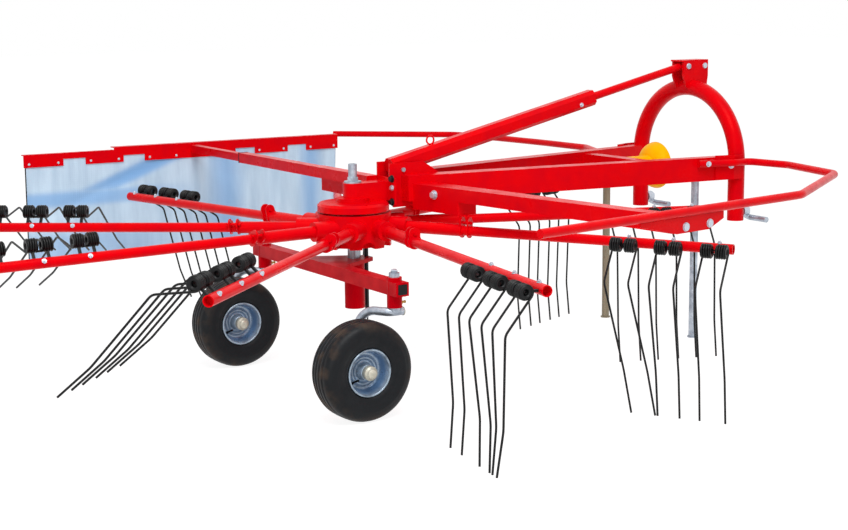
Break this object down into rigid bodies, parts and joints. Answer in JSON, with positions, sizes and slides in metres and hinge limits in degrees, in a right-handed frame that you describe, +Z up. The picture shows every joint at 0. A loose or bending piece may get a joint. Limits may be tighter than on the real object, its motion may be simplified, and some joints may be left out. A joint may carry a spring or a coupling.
{
  "type": "single rotor mounted hay rake",
  "caption": "Three point mounted rotary hay rake: spring tine arms on one driven rotor, castor wheels under it, headstock hoop, crop guards and a side swath curtain.",
  "frame": {"origin": "on the ground under the middle of the whole machine, parked", "axes": "+X is the way of travel, towards the tractor; +Y is the left side, with the swath curtain; +Z is up"},
  "size_m": [3.733, 3.8766, 1.3585],
  "materials": {
    "red_paint": "gloss powder coat",
    "galvanised": "hot dip galvanised",
    "tine_wire": "black spring steel",
    "tyre": "ribbed rubber",
    "curtain_cloth": "coated tarpaulin",
    "yellow_plastic": "moulded plastic",
    "bright_steel": "turned steel"
  },
  "bodies": {
    "frame": {"jack_rod": "tine_wire", "column": "galvanised", "rotor_head": "red_paint", "spindle_cap": "galvanised", "headstock_hoop": "red_paint", "hub_bracket": "red_paint", "beam_right": "red_paint", "beam_left": "red_paint", "top_clevis": "red_paint", "mast_outer": "red_paint", "mast_bar": "red_paint", "mast_pins": "galvanised", "lower_link_pins": "galvanised", "guard_right": "red_paint", "guard_left": "red_paint", "outrigger_right": "red_paint", "curtain_arm_sleeve": "red_paint", "front_cross_member": "red_paint", "pto_guard": "yellow_plastic", "stand_sleeves": "red_paint"},
    "rotor": {"rotor_drum": "red_paint", "tine_arm_1": "red_paint", "tines_1": "tine_wire", "tine_arm_2": "red_paint", "tines_2": "tine_wire", "tine_arm_3": "red_paint", "tines_3": "tine_wire", "tine_arm_4": "red_paint", "tines_4": "tine_wire", "tine_arm_5": "red_paint", "tines_5": "tine_wire", "tine_arm_6": "red_paint", "tines_6": "tine_wire", "tine_arm_7": "red_paint", "tines_7": "tine_wire", "tine_arm_8": "red_paint", "tines_8": "tine_wire", "tine_arm_9": "red_paint", "tines_9": "tine_wire"},
    "axle": {"axle_beam": "red_paint", "axle_sleeve": "red_paint"},
    "castor_right": {"castor_leg_right": "galvanised"},
    "castor_left": {"castor_leg_left": "galvanised"},
    "wheel_right": {"rim_right": "galvanised", "tyre_right": "tyre"},
    "wheel_left": {"rim_left": "galvanised", "tyre_left": "tyre"},
    "stand_right": {"stand_right": "galvanised"},
    "stand_left": {"stand_left": "galvanised"},
    "swath_curtain": {"curtain_arm": "red_paint", "curtain_rail": "red_paint", "curtain": "curtain_cloth"},
    "drive_shaft": {"input_shaft": "bright_steel"}
  },
  "joints": [
    {"name": "rotor_spin", "type": "hinge", "parent": "frame", "child": "rotor", "pos_m": [-0.17745, -0.27108, 0.698], "axis": [0, 0, 1], "continuous": true},
    {"name": "axle_height", "type": "slide", "parent": "frame", "child": "axle", "axis": [0, 0, -1], "range_m": [-0.04, 0.08]},
    {"name": "castor_swivel_right", "type": "hinge", "parent": "axle", "child": "castor_right", "pos_m": [-0.32545, -0.84808, 0.445], "axis": [0, 0, 1], "continuous": true},
    {"name": "castor_swivel_left", "type": "hinge", "parent": "axle", "child": "castor_left", "pos_m": [-0.32545, 0.30592, 0.445], "axis": [0, 0, 1], "continuous": true},
    {"name": "wheel_spin_right", "type": "hinge", "parent": "castor_right", "child": "wheel_right", "pos_m": [-0.48345, -0.84808, 0.205], "axis": [0, 1, 0], "continuous": true},
    {"name": "wheel_spin_left", "type": "hinge", "parent": "castor_left", "child": "wheel_left", "pos_m": [-0.48345, 0.30592, 0.205], "axis": [0, 1, 0], "continuous": true},
    {"name": "stand_slide_right", "type": "slide", "parent": "frame", "child": "stand_right", "axis": [0, 0, 1], "range_m": [0, 0.35]},
    {"name": "stand_slide_left", "type": "slide", "parent": "frame", "child": "stand_left", "axis": [0, 0, 1], "range_m": [0, 0.35]},
    {"name": "curtain_slide", "type": "slide", "parent": "frame", "child": "swath_curtain", "axis": [0, 1, 0], "range_m": [-0.1, 0.4]},
    {"name": "shaft_spin", "type": "hinge", "parent": "frame", "child": "drive_shaft", "pos_m": [1.35755, -0.27108, 0.845], "axis": [1, 0, 0], "continuous": true}
  ],
  "couplings": [
    {"joint": "shaft_spin", "follows": "rotor_spin", "ratio": 8}
  ]
}
